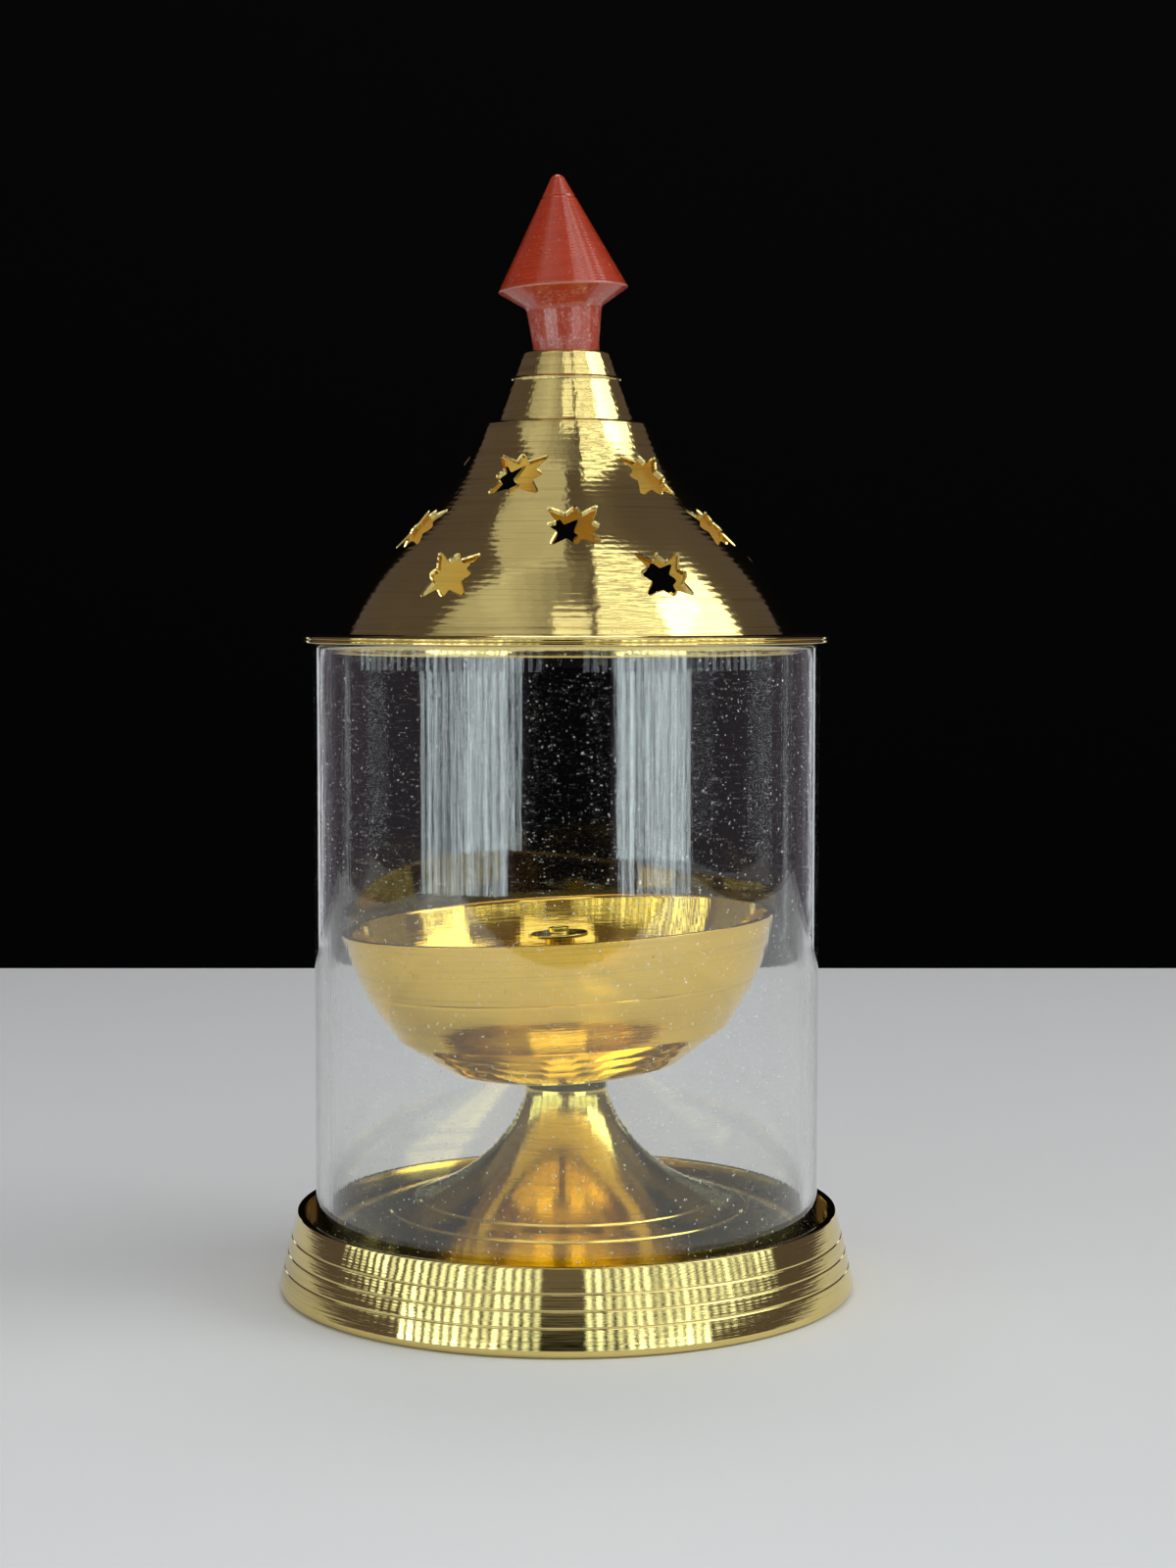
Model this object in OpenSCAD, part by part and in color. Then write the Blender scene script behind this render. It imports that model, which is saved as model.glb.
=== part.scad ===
// Akhand diya: a standing oil lamp of turned brass with a glass chimney and a pierced lid.
// Millimetres, +Z up, origin at the centre of the foot. The front of the lamp faces -Y.

/* [Glass chimney] */
// Outside diameter of the glass tube
glass_d = 80; // [66:1:100]
// Wall of the glass tube
glass_wall = 2.2; // [1.6:0.1:3]
// Length of the glass tube
glass_len = 95; // [78:1:130]
// Radius of the fire-polished edges
glass_edge = 0.7; // [0.3:0.1:0.75]

/* [Stand] */
// Height of the rim round the glass
rim_h = 12.8; // [10.5:0.1:16]
// Wall of the rim
rim_wall = 1.1; // [0.8:0.1:2]
// Play between the glass and the rim
rim_play = 1.8; // [0.6:0.1:3]
// Play between the glass and the raised floor
floor_play = 0.9; // [0.4:0.1:2]
// Depth of the channel that the glass stands in
channel_depth = 5; // [3:0.1:6]
// Outward flare of the skirt from the rim to the foot
skirt_flare = 2.9; // [1:0.1:6]
// Width of the solid foot under the skirt
foot_w = 3; // [2.4:0.1:4]
// Rounding of the outer edge of the foot
foot_round = 1.3; // [0.6:0.1:1.6]
// Wall of the casting
cast_wall = 1.8; // [1.4:0.1:2.4]
// Height of the pedestal's top above the ground
pedestal_h = 32.3; // [26:0.1:40]
// Diameter of the pedestal's neck
neck_d = 13; // [11:0.1:17]
// Depth of the solid boss under the neck
boss_h = 9.3; // [6:0.1:11]
// Number of turned grooves on the skirt
skirt_grooves = 3; // [1:1:3]
// Distance from the rim down to the first groove
groove_drop = 3.6; // [2:0.1:4.5]
// Distance between the grooves
groove_pitch = 2.4; // [1.2:0.1:2.6]
// Radius of the tool that turns the grooves
groove_r = 0.35; // [0.2:0.05:0.5]
// Distance of the floor's grooves from its edge and from each other
floor_groove = 5.4; // [3:0.1:8]

/* [Oil bowl] */
// Gap between the bowl's rim and the glass
bowl_gap = 3.4; // [2.5:0.1:8]
// Height of the bowl above its collar
bowl_h = 25.4; // [20:0.1:34]
// Wall of the bowl at its rim
bowl_wall = 1.1; // [0.8:0.1:2]
// Thickness of the bowl's floor
bowl_floor = 3.4; // [2.8:0.1:5]
// Diameter of the collar under the bowl
collar_d = 12.9; // [10:0.1:16]
// Height of the collar on its axis
collar_h = 1.25; // [0.8:0.05:3]
// Lean of the bowl on its stud, towards -X, in degrees
bowl_lean = 2.9; // [0:0.1:4]
// Distance of the turned groove below the bowl's rim
bowl_groove = 9.6; // [6:0.1:12]
// Number of turned steps under the bowl
bowl_steps = 4; // [1:1:4]
// Distance from the bowl's rim in to the outermost step
step_in = 8; // [7.5:0.1:11]
// Height of the outermost step above the collar
step_rise = 7.8; // [7:0.05:11]
// Width of each turned step
step_w = 2.7; // [2:0.05:3.4]
// Fall of each turned step
step_fall = 1.85; // [1.4:0.05:2.2]
// Width of the lip under each step
step_lip = 0.5; // [0.2:0.05:0.8]

/* [Bowl fixing] */
// Diameter of the threaded stud
stud_d = 6; // [5:0.5:7]
// Play of the stud in the neck
stud_play = 0.25; // [0.1:0.05:0.5]
// Brass left above the stud in the bowl's floor
stud_cover = 1.3; // [0.8:0.1:2]
// Free end of the stud below its nut
stud_end = 2; // [0.5:0.1:3]
// Width of the nut across its flats
nut_flats = 10; // [9:0.5:12]
// Height of the nut
nut_h = 5; // [3:0.1:6]
// Diameter of the washer
washer_d = 12.5; // [11:0.5:16]
// Thickness of the washer
washer_t = 1.2; // [0.8:0.1:1.6]

/* [Wick holder] */
// Diameter of the holder's foot
holder_foot_d = 17; // [14:0.5:22]
// Thickness of the holder's foot
holder_foot_t = 1.4; // [1:0.1:2]
// Diameter of the drip plate
plate_d = 9.4; // [7:0.1:14]
// Thickness of the drip plate
plate_t = 0.6; // [0.5:0.1:1.2]
// Distance of the drip plate below the bowl's rim
plate_drop = 2.2; // [0.5:0.1:6]
// Diameter of the nozzle
nozzle_d = 3.2; // [2.8:0.1:5]
// Height of the nozzle above the drip plate
nozzle_h = 0.9; // [0.5:0.1:3]
// Bore for the wick
wick_d = 2; // [1.5:0.1:2.4]
// Diameter of the column at its foot
column_d = 7; // [5:0.1:9]
// Diameter of the cross hole that lets the oil in
oil_hole_d = 2.4; // [1.5:0.1:3]

/* [Lid] */
// Wall of the spun lid
lid_wall = 0.9; // [0.7:0.05:1.2]
// Overhang of the brim past the glass
brim_over = 1.6; // [0.5:0.1:4]
// Thickness of the hemmed brim
brim_t = 1.1; // [0.8:0.1:2]
// Depth of the collar inside the glass
spigot_h = 1.8; // [1:0.1:5]
// Play between that collar and the glass
spigot_play = 0.5; // [0.3:0.1:1]
// Step in from the collar to the dome
dome_inset = 1.6; // [1.1:0.1:3]
// Height from the brim's underside to the ledge of the dome
dome_h = 34.1; // [28:0.1:42]
// Diameter of the lid's neck above the ledge
lid_neck_d = 22.4; // [18:0.1:27]
// Width of the ledge round the neck
ledge_w = 1.85; // [1:0.05:4]
// Diameter of the lid's flat top
lid_top_d = 14; // [13:0.1:17]
// Height of the lid's neck
lid_neck_h = 11.4; // [8:0.1:16]
// Height of the turned line on the neck above the ledge
neck_line = 7.1; // [3:0.1:7.4]
// Thickness of the lid's flat top
lid_top_t = 1.2; // [0.9:0.1:2]

/* [Stars] */
// Length of the long points
star_long = 5.7; // [4.5:0.1:6.2]
// Length of the short points
star_short = 4.1; // [3.4:0.1:4.8]
// Distance of the notches from the centre
star_notch = 2.8; // [2:0.1:3.2]

/* [Knob] */
// Height of the knob
knob_h = 27.7; // [22:0.1:36]
// Diameter of the knob's cone
knob_d = 20.5; // [17:0.1:26]
// Height of the knob's stem
stem_h = 7; // [4:0.1:9]
// Diameter of the stem where it sits on the lid
stem_d = 10.4; // [8:0.1:12]
// Diameter of the stem under the cone
stem_top_d = 11.9; // [9:0.1:14]
// Height of the cone's underside
cone_under = 2.7; // [1:0.1:4]
// Radius of the rounded tip
tip_r = 1.3; // [0.8:0.1:3]
// Lean of the knob on its screw, towards -X, in degrees
knob_lean = 2.9; // [0:0.1:4]

/* [Knob fixing] */
// Diameter of the screw
screw_d = 4; // [3:0.5:4]
// Length of the screw under its head
screw_len = 12; // [9:0.5:14]
// Diameter of the screw's head
head_d = 8; // [6:0.5:9]
// Height of the screw's head
head_h = 2.6; // [1.8:0.1:3]
// Diameter of the screw's washer
knob_washer_d = 9.5; // [8:0.5:10.5]
// Thickness of the screw's washer
knob_washer_t = 0.8; // [0.6:0.1:1.2]

/* [Hidden] */
$fn = 96;

brass = "#c9a24b";
old_brass = "#b08a3c";
steel = "#b9bcc0";
glass = [0.85, 0.93, 0.9, 0.35];
red = "#a8382c";

// Play of a thread, of a washer on its screw and of a fastener's end in its hole
thread_play = 0.1;
hole_play = 0.25;
end_play = 0.5;
// Overshoot of a cut past the face that it opens
over = 1;
// Distance of the grooving tool's centre from the turned surface
groove_out = groove_r / 3;
// Number of straight steps in a turned curve
steps = 14;

// Handles of the turned curves, as shares of each curve's width and height
skirt_form = [[0.43, 0.38], [0.76, 0.72]];
trumpet_form = [[0, 0.23], [0.26, 0.99]];
bowl_form = [[0.37, 0.29], [0.64, 0.32]];
under_form = [[0.5, 0.2], [0.85, 0.7]];
dome_form = [[0.24, 0.43], [0.68, 0.46]];

// Radii and heights that follow the glass
glass_r = glass_d / 2;
glass_in = glass_r - glass_wall;
seat_z = rim_h - channel_depth;
glass_top = seat_z + glass_len;
rim_in = glass_r + rim_play;
rim_r = rim_in + rim_wall;
foot_r = rim_r + skirt_flare;
floor_r = glass_in - floor_play;
bowl_r = glass_in - bowl_gap;
brim_r = glass_r + brim_over;
spigot_r = glass_in - spigot_play;
dome_r = spigot_r - dome_inset;

// Heights up the stand, and up the leaning bowl from its seat
boss_z = pedestal_h - boss_h;
nut_top = boss_z - washer_t;
stud_low = nut_top - nut_h - stud_end;
stud_high = pedestal_h + collar_h + bowl_floor - stud_cover;
floor_top = collar_h + bowl_floor;
rim_top = collar_h + bowl_h;
holder_foot_r = holder_foot_d / 2;
bowl_flat_r = holder_foot_r + end_play;

// Heights up the lid
brim_top = glass_top + brim_t;
ledge_z = glass_top + dome_h;
lid_top = ledge_z + lid_neck_h;
bead = 0.3;
screw_head_z = lid_top - lid_top_t - knob_washer_t;

// Rows of stars: place along the dome's curve, then the angles round the lid from the front.
// The stars are punched by hand, so their spacing is a little uneven.
star_rows = [
    [0.246, [-140, -88, -24, 46, 100, 156]],
    [0.55, [-124, -64, 3, 65, 124, 184]],
    [0.793, [-152, -92, -34, 29, 88, 150]]
];
star_points = 8;
punch = 7;

// Point and direction at the share t of the curve from a to b
function handle(a, b, share) = [a.x + share.x * (b.x - a.x), a.y + share.y * (b.y - a.y)];
function curve_at(a, b, form, t) =
    let (s = 1 - t, p = handle(a, b, form[0]), q = handle(a, b, form[1]))
    s * s * s * a + 3 * s * s * t * p + 3 * s * t * t * q + t * t * t * b;
function curve_dir(a, b, form, t) =
    let (s = 1 - t, p = handle(a, b, form[0]), q = handle(a, b, form[1]))
    3 * s * s * (p - a) + 6 * s * t * (q - p) + 3 * t * t * (b - q);
function curve(a, b, form) = [for (i = [0:steps]) curve_at(a, b, form, i / steps)];

// The same curve one wall to the right of the way that it runs
function shifted(a, b, form, wall) = [
    for (i = [0:steps])
        let (d = curve_dir(a, b, form, i / steps))
        curve_at(a, b, form, i / steps) + wall * [d.y, -d.x] / norm(d)
];
function arc(c, r, from, to, n) = [
    for (i = [0:n])
        let (w = from + (to - from) * i / n)
        c + r * [cos(w), sin(w)]
];
function flip(points) = [for (i = [len(points) - 1:-1:0]) points[i]];
function x_at(points, y) = lookup(y, [for (p = points) [p.y, p.x]]);
function y_at(points, x) = lookup(x, [for (p = points) [p.x, p.y]]);

// Curves that pieces share
trumpet_a = [neck_d / 2, pedestal_h];
trumpet_b = [floor_r, rim_h];
dome_a = [lid_neck_d / 2 + ledge_w, ledge_z];
dome_b = [dome_r, brim_top + bead];

// Frames of the leaning bowl and knob, each kept above the flat face that it is clamped to
module leaning_on(seat_z, lean, reach) {
    intersection() {
        translate([0, 0, seat_z]) rotate([0, -lean, 0]) children();
        translate([-reach, -reach, seat_z]) cube([2 * reach, 2 * reach, 2 * reach]);
    }
}

module turned_groove(at) {
    translate(at) circle(r = groove_r, $fn = 24);
}

// A round washer with its underside at z
module round_washer(outer_d, inner_d, t, z) {
    translate([0, 0, z]) difference() {
        cylinder(d = outer_d, h = t);
        translate([0, 0, -over]) cylinder(d = inner_d, h = t + 2 * over);
    }
}

// Cast and turned stand: grooved skirt, channel for the glass, trumpet pedestal, hollow below
module stand() {
    skirt = curve([rim_r, rim_h], [foot_r, foot_round], skirt_form);
    trumpet = curve(trumpet_a, trumpet_b, trumpet_form);
    hollow_r = floor_r - cast_wall;
    under = shifted(trumpet_a, trumpet_b, trumpet_form, cast_wall);
    hollow = [for (p = under) if (p.y < boss_z && p.x < hollow_r) p];
    hollow_end = hollow[len(hollow) - 1];
    bore_r = stud_d / 2 + stud_play;
    color(brass) rotate_extrude() difference() {
        polygon(concat(
            [[bore_r, pedestal_h]],
            trumpet,
            [[floor_r, seat_z], [rim_in, seat_z], [rim_in, rim_h]],
            skirt,
            arc([foot_r - foot_round, foot_round], foot_round, 0, -90, 5),
            [[foot_r - foot_w, 0], [foot_r - foot_w, seat_z - cast_wall]],
            [[hollow_r, seat_z - cast_wall], [hollow_r, hollow_end.y]],
            flip(hollow),
            [[x_at(under, boss_z), boss_z], [bore_r, boss_z]]
        ));
        for (i = [0:skirt_grooves - 1])
            let (z = rim_h - groove_drop - i * groove_pitch)
            turned_groove([x_at(skirt, z) + groove_out, z]);
        for (i = [1:2])
            let (r = floor_r - i * floor_groove)
            turned_groove([r, y_at(trumpet, r) + groove_out]);
    }
}

// Oil bowl on its collar, stepped underneath, with the blind hole for the stud
module oil_bowl() {
    rim = [bowl_r, rim_top];
    top_step = [bowl_r - step_in, collar_h + step_rise];
    low_step = top_step - (bowl_steps - 1) * [step_w, step_fall];
    outside = curve(top_step, rim, bowl_form);
    inside = shifted(rim, top_step, [[1, 1] - bowl_form[1], [1, 1] - bowl_form[0]], bowl_wall);
    groove_z = rim_top - bowl_groove;
    color(brass) difference() {
        leaning_on(pedestal_h, bowl_lean, 2 * bowl_r) rotate_extrude() difference() {
            polygon(concat(
                [[0, -over], [collar_d / 2, -over]],
                curve([collar_d / 2, collar_h], low_step, under_form),
                [
                    for (i = [bowl_steps - 2:-1:0], lip = [step_lip, 0])
                        top_step - i * [step_w, step_fall] + lip * [-1, 0.2]
                ],
                outside,
                [[x_at(inside, rim_top), rim_top]],
                [for (p = inside) if (p.y < rim_top) p],
                [[bowl_flat_r, floor_top], [0, floor_top]]
            ));
            turned_groove([x_at(outside, groove_z) + groove_out, groove_z]);
        }
        translate([0, 0, pedestal_h - over])
            cylinder(r = stud_d / 2 + thread_play, h = stud_high - pedestal_h + over);
    }
}

// Threaded stud that holds the bowl on the pedestal
module bowl_stud() {
    color(old_brass) translate([0, 0, stud_low]) cylinder(d = stud_d, h = stud_high - stud_low);
}

// Washer under the pedestal's boss
module bowl_washer() {
    color(old_brass) round_washer(washer_d, stud_d + 2 * hole_play, washer_t, nut_top);
}

// Hexagon nut that clamps the bowl from below
module bowl_nut() {
    color(old_brass) translate([0, 0, nut_top - nut_h]) difference() {
        cylinder(d = nut_flats / cos(30), h = nut_h, $fn = 6);
        translate([0, 0, -over]) cylinder(r = stud_d / 2 + thread_play, h = nut_h + 2 * over);
    }
}

// Lift-out wick holder: foot, tapered column, drip plate and nozzle, bored for the wick
module wick_holder() {
    plate_z = rim_top - plate_drop;
    tip_z = plate_z + nozzle_h;
    oil_z = floor_top + holder_foot_t + oil_hole_d;
    color(brass) translate([0, 0, pedestal_h]) rotate([0, -bowl_lean, 0]) difference() {
        rotate_extrude() polygon([
            [wick_d / 2, floor_top],
            [holder_foot_r, floor_top],
            [holder_foot_r, floor_top + holder_foot_t / 2],
            [holder_foot_r - holder_foot_t / 2, floor_top + holder_foot_t],
            [column_d / 2, floor_top + holder_foot_t],
            [nozzle_d / 2 + plate_t, plate_z - plate_t],
            [plate_d / 2, plate_z - plate_t],
            [plate_d / 2, plate_z],
            [nozzle_d / 2, plate_z],
            [nozzle_d / 2, tip_z],
            [wick_d / 2, tip_z]
        ]);
        translate([0, 0, oil_z]) rotate([0, 90, 0])
            cylinder(d = oil_hole_d, h = 2 * column_d, center = true);
    }
}

// Glass tube with fire-polished ends
module glass_chimney() {
    soft = glass_edge;
    color(glass) rotate_extrude() translate([glass_in, seat_z]) {
        translate([soft, 0]) square([glass_wall - 2 * soft, glass_len]);
        translate([0, soft]) square([glass_wall, glass_len - 2 * soft]);
        for (x = [soft, glass_wall - soft], y = [soft, glass_len - soft])
            translate([x, y]) circle(r = soft, $fn = 24);
    }
}

// Eight-pointed star with long and short points in turn
module star() {
    half = 180 / star_points;
    polygon([
        for (i = [0:2 * star_points - 1])
            let (tip = i % 4 == 0 ? star_short : star_long)
            (i % 2 == 0 ? tip : star_notch) * [cos(i * half), sin(i * half)]
    ]);
}

// Star punches, square to the dome
module star_punches() {
    for (row = star_rows, turn = row[1])
        let (
            at = curve_at(dome_a, dome_b, dome_form, row[0]),
            way = curve_dir(dome_a, dome_b, dome_form, row[0])
        )
        rotate([0, 0, turn]) translate([0, -at.x, at.y]) rotate([atan2(-way.y, way.x), 0, 0])
            linear_extrude(height = punch, center = true) star();
}

// Spun lid: hemmed brim, collar inside the glass, pierced ogee dome, ledge, neck and flat top
module lid() {
    neck_r = lid_neck_d / 2;
    top_r = lid_top_d / 2;
    soft = lid_wall / 2;
    hem_z = glass_top + brim_t / 2;
    line_z = ledge_z + neck_line;
    line_r = neck_r + (top_r - neck_r) * neck_line / lid_neck_h;
    inner_dome = shifted(dome_a, dome_b, dome_form, lid_wall);
    inner = [for (p = inner_dome) if (p.y < ledge_z - 2 * lid_wall) p];
    color(brass) difference() {
        rotate_extrude() polygon(concat(
            [[screw_d / 2 + hole_play, lid_top]],
            arc([top_r - soft, lid_top - soft], soft, 90, 20, 4),
            [[line_r - bead / 2, line_z + bead], [line_r + bead, line_z]],
            [[line_r + bead / 2, line_z - bead], [neck_r, ledge_z + bead]],
            curve(dome_a, dome_b, dome_form),
            [[dome_r + bead, brim_top + bead / 2], [dome_r + bead, brim_top]],
            [[brim_r - bead, brim_top], [brim_r, brim_top - bead], [brim_r, hem_z + bead / 3]],
            [[brim_r - bead, hem_z], [brim_r, hem_z - bead / 3], [brim_r, glass_top]],
            [[spigot_r, glass_top], [spigot_r, glass_top - spigot_h]],
            [[spigot_r - lid_wall, glass_top - spigot_h], [spigot_r - lid_wall, glass_top]],
            flip(inner),
            [[neck_r - lid_wall, ledge_z - lid_wall], [top_r - lid_wall, lid_top - lid_top_t]],
            [[screw_d / 2 + hole_play, lid_top - lid_top_t]]
        ));
        star_punches();
    }
}

// Turned knob: waisted stem under a pointed cone, with a blind hole for its screw
module knob() {
    edge = [knob_d / 2, stem_h + cone_under];
    tip = [0, knob_h - tip_r];
    reach = norm(edge - tip);
    touch = atan2(edge.y - tip.y, edge.x) + acos(tip_r / reach);
    hole_h = screw_len - lid_top_t - knob_washer_t + end_play;
    color(red) difference() {
        leaning_on(lid_top, knob_lean, 2 * knob_h) rotate_extrude() polygon(concat(
            [[0, -over], [stem_d / 2, -over], [stem_d / 2, 0]],
            [[stem_top_d / 2, stem_h], edge],
            arc(tip, tip_r, touch, 90, 6)
        ));
        translate([0, 0, lid_top - over])
            cylinder(r = screw_d / 2 + thread_play, h = hole_h + over);
    }
}

// Pan-head screw inside the lid's neck, with a cross slot
module knob_screw() {
    slot = head_h / 3;
    color(steel) translate([0, 0, screw_head_z]) difference() {
        union() {
            cylinder(d = screw_d, h = screw_len);
            rotate_extrude() polygon(concat(
                [[0, 0], [head_d / 2, 0]],
                arc([head_d / 2 - slot, slot - head_h], slot, 0, -90, 4),
                [[0, -head_h]]
            ));
        }
        for (turn = [0, 90])
            rotate([0, 0, turn]) translate([-head_d / 3, -slot / 2, -head_h - over])
                cube([2 * head_d / 3, slot, over + head_h / 2]);
    }
}

// Washer between the screw's head and the lid
module knob_washer() {
    color(steel) round_washer(knob_washer_d, screw_d + 2 * hole_play, knob_washer_t, screw_head_z);
}

stand();
oil_bowl();
bowl_stud();
bowl_washer();
bowl_nut();
wick_holder();
glass_chimney();
lid();
knob();
knob_screw();
knob_washer();
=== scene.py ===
# Akhand diya: the looks of the standing oil lamp, in metres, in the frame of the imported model.
# Profiles are written in millimetres, as pairs of radius and height.
from math import acos, atan2, cos, floor, hypot, pi, radians, sin, sqrt, tan, tau
import bmesh
import bpy
from mathutils import Matrix, Vector
from mathutils.geometry import delaunay_2d_cdt


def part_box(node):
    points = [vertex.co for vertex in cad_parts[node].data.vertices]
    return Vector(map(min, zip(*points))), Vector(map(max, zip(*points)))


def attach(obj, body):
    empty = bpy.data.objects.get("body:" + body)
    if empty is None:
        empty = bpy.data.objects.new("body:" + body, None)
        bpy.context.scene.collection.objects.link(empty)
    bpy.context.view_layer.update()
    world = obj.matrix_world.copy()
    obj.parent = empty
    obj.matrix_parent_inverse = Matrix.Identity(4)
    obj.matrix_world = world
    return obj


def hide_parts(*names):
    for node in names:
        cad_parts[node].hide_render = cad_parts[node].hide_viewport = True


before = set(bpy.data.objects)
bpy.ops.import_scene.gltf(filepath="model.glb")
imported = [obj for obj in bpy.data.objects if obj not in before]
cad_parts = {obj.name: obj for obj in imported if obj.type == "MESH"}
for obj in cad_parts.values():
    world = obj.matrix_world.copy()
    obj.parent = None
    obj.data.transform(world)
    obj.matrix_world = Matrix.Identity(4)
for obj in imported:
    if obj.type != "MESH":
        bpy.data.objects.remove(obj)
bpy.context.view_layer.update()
MM = 0.001


# Sizes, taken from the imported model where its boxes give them

def span(node):
    """Lowest and highest corner of a node, in millimetres."""
    low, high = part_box(node)
    return [v / MM for v in low], [v / MM for v in high]


(_, _, seat_z), (_, glass_r, glass_top) = span("glass_chimney")
(_, _, _), (_, foot_r, pedestal_h) = span("stand")
(_, _, spigot_z), (_, brim_r, lid_top) = span("lid")
(_, _, stud_low), (_, stud_r, stud_high) = span("bowl_stud")
(_, _, nut_low), (_, nut_half, nut_top) = span("bowl_nut")
(_, _, washer_low), (_, washer_r, washer_top) = span("bowl_washer")
(_, _, head_low), (_, head_r, screw_top) = span("knob_screw")
(_, _, knob_washer_low), (_, knob_washer_r, knob_washer_top) = span("knob_washer")

# Glass chimney
glass_wall = 2.2
glass_in = glass_r - glass_wall
glass_round = 0.91

# Stand
channel_depth = 5.0
channel_play = 1.8
rim_wall = 1.1
rim_h = seat_z + channel_depth
rim_in = glass_r + channel_play
rim_r = rim_in + rim_wall
rim_soft = 0.35
floor_play = 0.9
floor_r = glass_in - floor_play
floor_rings = (24.0, 28.6)
fall_from = 26.0
floor_fall = 2.2
skirt_groove_down = 3.6
skirt_groove_pitch = 2.4
skirt_ridges_down = 8.6
foot_w = 3.0
foot_round = 1.3
cast_wall = 1.8
neck_r = 6.5
neck_soft = 0.35
bore_play = 0.25
bore_r = stud_r + bore_play
boss_z = washer_top

# Oil bowl
bowl_play = 3.4
bowl_r = glass_in - bowl_play
bowl_lean = radians(2.9)
bowl_wall = 1.1
bowl_h = 25.4
bowl_floor_up = 3.4
bowl_groove_down = 9.6
collar_r = 6.45
collar_h = 1.25
bowl_floor = collar_h + bowl_floor_up
bowl_rim = collar_h + bowl_h
bowl_groove = bowl_rim - bowl_groove_down
top_step_in = 8.0
top_step_up = 7.8
top_step = (bowl_r - top_step_in, collar_h + top_step_up)
step = (2.7, 1.85)
step_lip = 0.5
step_cut = 0.3
step_soft = 0.16
band_bulge = 0.14
band_trim = 0.2
thread_play = 0.1

# Wick holder
holder_r = 8.5
holder_foot_h = 1.4
holder_foot_edge = 0.7
column_foot_r = 3.5
column_top_r = 2.2
plate_down = 2.2
plate_r = 4.7
plate_t = 0.6
nozzle_r = 1.6
nozzle_h = 0.9
wick_r = 1.0
oil_hole_r = 1.2
oil_hole_up = 2.4
oil_hole_long = 14.0

# Lid
lid_wall = 0.9
brim_t = 1.1
brim_top = glass_top + brim_t
spigot_play = 0.5
spigot_r = glass_in - spigot_play
dome_in = 1.6
dome_up = 0.3
dome_foot = (spigot_r - dome_in, brim_top + dome_up)
ledge_up = 34.1
ledge_w = 1.85
ledge_z = glass_top + ledge_up
lid_neck_r = 11.2
dome_ledge = (lid_neck_r + ledge_w, ledge_z)
lid_top_r = 7.0
lid_top_t = 1.2
lid_bore_r = 2.25
neck_line_up = 7.1
neck_line = ledge_z + neck_line_up
hem_line = 0.12
hem_deep = 0.3

# Knob
knob_lean = radians(2.9)
knob_h = 27.7
knob_r = 10.25
knob_hole_r = 2.1
stem_r = 5.2
stem_waist = (5.3, 2.0)
stem_top_r = 5.95
stem_h = 7.0
cone_rise = 2.7
cone_edge = (knob_r, stem_h + cone_rise)
cone_line_down = 3.6
tip_r = 1.3

# Handles of the turned curves, as shares of each curve's width and height
skirt_form = ((0.43, 0.38), (0.76, 0.72))
trumpet_form = ((0.0, 0.23), (0.26, 0.99))
bowl_form = ((0.37, 0.29), (0.64, 0.32))
under_form = ((0.5, 0.2), (0.85, 0.7))
dome_form = ((0.24, 0.43), (0.68, 0.46))

# Stars: share of the dome's curve, then the angles round the lid from the front
star_rows = (
    (0.246, (-140, -88, -24, 46, 100, 156)),
    (0.55, (-124, -64, 3, 65, 124, 184)),
    (0.793, (-152, -92, -34, 29, 88, 150)),
)
star_long, star_short, star_notch = 5.7, 4.1, 2.8
star_soft = (0.8, 0.35, 1.0, 0.35)
star_corners = 16
star_uneven = 0.04
star_twist = radians(4.0)
star_bevel = 0.2
star_clear = 0.3
star_reach = 6.9


# Profiles

CURVE_STEPS = 600
CORNER_STEPS = 6
LONGEST_CUT = 0.48


def curve_point(a, b, form, t):
    """Point at the share t of the curve from a to b."""
    s = 1 - t
    return tuple(
        s**3 * a[i]
        + 3 * s * s * t * (a[i] + form[0][i] * (b[i] - a[i]))
        + 3 * s * t * t * (a[i] + form[1][i] * (b[i] - a[i]))
        + t**3 * b[i]
        for i in (0, 1)
    )


def lengths(points):
    """Length along a polyline at each of its points."""
    run = [0.0]
    for p, q in zip(points, points[1:]):
        run.append(run[-1] + hypot(q[0] - p[0], q[1] - p[1]))
    return run


def at_length(points, run, s):
    """Point of a polyline at the length s along it."""
    low, high = 0, len(run) - 1
    while high - low > 1:
        mid = (low + high) // 2
        if run[mid] <= s:
            low = mid
        else:
            high = mid
    share = (s - run[low]) / (run[high] - run[low])
    p, q = points[low], points[high]
    return tuple(p[i] + share * (q[i] - p[i]) for i in (0, 1))


def even(points, pitch, trim=(0.0, 0.0)):
    """The polyline at an even pitch, with its ends cut back."""
    run = lengths(points)
    first, last = trim[0], run[-1] - trim[1]
    count = max(1, round((last - first) / pitch))
    return [at_length(points, run, first + (last - first) * i / count) for i in range(count + 1)]


def curve(a, b, form, pitch=0.3, trim=(0.0, 0.0)):
    """The curve from a to b at an even pitch, with its ends cut back."""
    steps = range(CURVE_STEPS + 1)
    return even([curve_point(a, b, form, i / CURVE_STEPS) for i in steps], pitch, trim)


def side_of(points, i):
    """Unit normal at point i, to the right of the way the polyline runs."""
    p, q = points[max(i - 1, 0)], points[min(i + 1, len(points) - 1)]
    d = (q[0] - p[0], q[1] - p[1])
    n = hypot(*d)
    return d[1] / n, -d[0] / n


def moved(points, depth):
    """The polyline moved to its right by depth, a number or a function of the point."""
    out = []
    for i, p in enumerate(points):
        n = side_of(points, i)
        h = depth(p) if callable(depth) else depth
        out.append((p[0] + h * n[0], p[1] + h * n[1]))
    return out


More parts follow.
